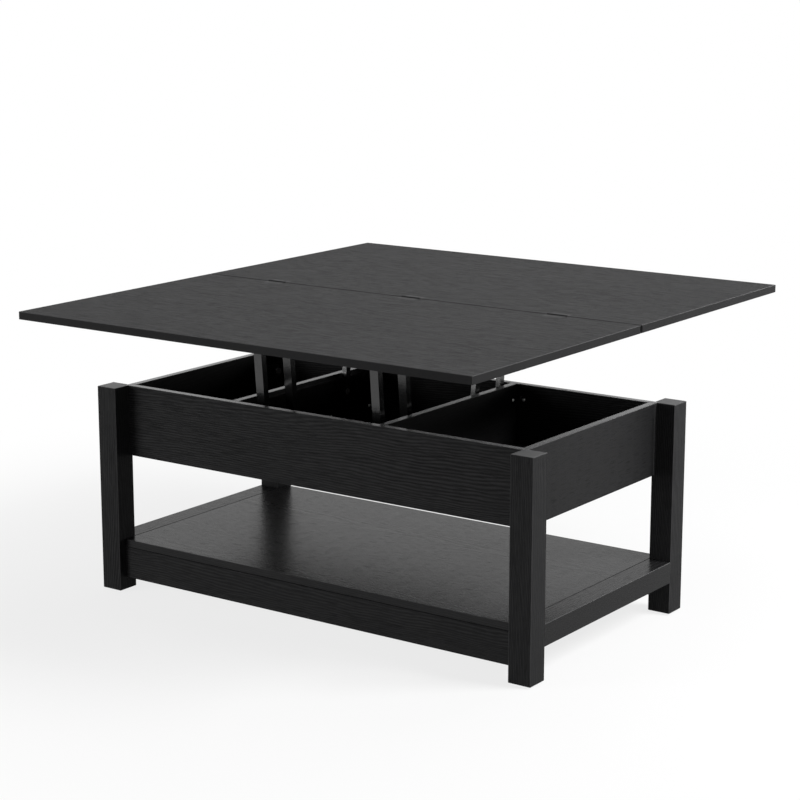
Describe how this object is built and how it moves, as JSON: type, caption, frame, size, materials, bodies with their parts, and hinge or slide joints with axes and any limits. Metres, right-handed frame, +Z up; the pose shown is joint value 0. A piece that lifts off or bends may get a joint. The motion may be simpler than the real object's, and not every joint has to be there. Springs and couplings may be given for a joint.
{
  "type": "convertible coffee dining table",
  "caption": "Black wood-grain lift-top coffee table whose folding top rises on steel arms and opens to a dining table, over a compartment box and an open shelf.",
  "frame": {"origin": "on the floor under the middle of the seam between the two unfolded leaves", "axes": "+Z up, +X along the long front to the right, +Y from the front to the back"},
  "size_m": [1.013, 1.096, 0.5893],
  "materials": {
    "black_oak": "black embossed oak grain, satin",
    "black_panel": "smooth black board",
    "black_steel": "satin black powder coat",
    "black_oxide": "black oxide, oiled",
    "zinc_plate": "bright zinc plate",
    "spring_steel": "oiled spring wire",
    "black_rubber": "matte",
    "glide_plastic": "matte",
    "dowel_beech": "raw"
  },
  "bodies": {
    "base": {"leg_front_left": "black_oak", "leg_front_right": "black_oak", "leg_back_left": "black_oak", "leg_back_right": "black_oak", "corner_plates": "black_steel", "foot_glides": "glide_plastic", "leg_bolts": "black_oxide", "leg_nuts": "black_oxide", "front_apron": "black_oak", "back_apron": "black_oak", "left_apron": "black_oak", "right_apron": "black_oak", "front_rail": "black_oak", "back_rail": "black_oak", "left_side_rail": "black_oak", "right_side_rail": "black_oak", "rail_dowels": "dowel_beech", "compartment_floor": "black_panel", "left_divider": "black_oak", "right_divider": "black_oak", "shelf": "black_oak", "divider_braces": "black_steel", "brace_screws": "zinc_plate", "base_plate_left": "black_steel", "base_plate_right": "black_steel", "plate_screws": "zinc_plate", "base_pivot_pins": "black_oxide", "spring_studs": "black_oxide", "spring_stud_eyes": "zinc_plate", "lift_spring_left": "spring_steel", "lift_spring_right": "spring_steel"},
    "lead_arms": {"lead_arm_left": "black_steel", "lead_arm_right": "black_steel", "arm_tie_tube": "black_steel", "spring_tail_pins": "black_oxide", "spring_tail_eyes": "zinc_plate"},
    "follow_arms": {"follow_arm_left": "black_steel", "follow_arm_right": "black_steel"},
    "front_top": {"front_leaf": "black_oak", "leaf_bumpers": "black_rubber", "leaf_bracket_left": "black_steel", "leaf_bracket_right": "black_steel", "leaf_pivot_pins": "black_oxide", "bracket_screws": "zinc_plate", "hinge_plates_front": "black_steel", "hinge_pins": "black_oxide", "hinge_screws_front": "black_steel"},
    "back_top": {"back_leaf": "black_oak", "hinge_plates_back": "black_steel", "hinge_screws_back": "black_steel"},
    "prop_front_arms": {"prop_arm_front_left": "black_steel", "prop_arm_front_right": "black_steel"},
    "prop_rear_arms": {"prop_arm_rear_left": "black_steel", "prop_arm_rear_right": "black_steel"},
    "prop_bars": {"prop_bar_left": "black_steel", "prop_bar_right": "black_steel", "prop_pivot_pins": "black_oxide", "prop_pads": "black_rubber"}
  },
  "joints": [
    {"name": "lift", "type": "hinge", "parent": "base", "child": "lead_arms", "pos_m": [0, -0.25647, 0.377], "axis": [-1, 0, 0], "range_deg": [0, 87.63], "deforming": ["lift_spring_left", "lift_spring_right"]},
    {"name": "follow_swing", "type": "hinge", "parent": "base", "child": "follow_arms", "pos_m": [0, -0.17047, 0.367], "axis": [-1, 0, 0], "range_deg": [0, 87.63]},
    {"name": "top_level", "type": "hinge", "parent": "lead_arms", "child": "front_top", "pos_m": [0, -0.27231, 0.558], "axis": [-1, 0, 0], "range_deg": [-87.63, 0]},
    {"name": "prop_front_swing", "type": "hinge", "parent": "base", "child": "prop_front_arms", "pos_m": [0, 0.02553, 0.3752], "axis": [1, 0, 0], "range_deg": [0, 93]},
    {"name": "prop_rear_swing", "type": "hinge", "parent": "base", "child": "prop_rear_arms", "pos_m": [0, 0.11453, 0.3892], "axis": [1, 0, 0], "range_deg": [0, 93]},
    {"name": "prop_level", "type": "hinge", "parent": "prop_front_arms", "child": "prop_bars", "pos_m": [0, 0.04047, 0.546], "axis": [1, 0, 0], "range_deg": [-93, 0]},
    {"name": "leaf_fold", "type": "hinge", "parent": "front_top", "child": "back_top", "pos_m": [0, 0, 0.58725], "axis": [1, 0, 0], "range_deg": [0, 180]}
  ],
  "couplings": [
    {"joint": "follow_swing", "follows": "lift", "ratio": 1},
    {"joint": "top_level", "follows": "lift", "ratio": -1},
    {"joint": "prop_front_swing", "follows": "lift", "ratio": 1.0613},
    {"joint": "prop_rear_swing", "follows": "lift", "ratio": 1.0613},
    {"joint": "prop_level", "follows": "lift", "ratio": -1.0613}
  ]
}
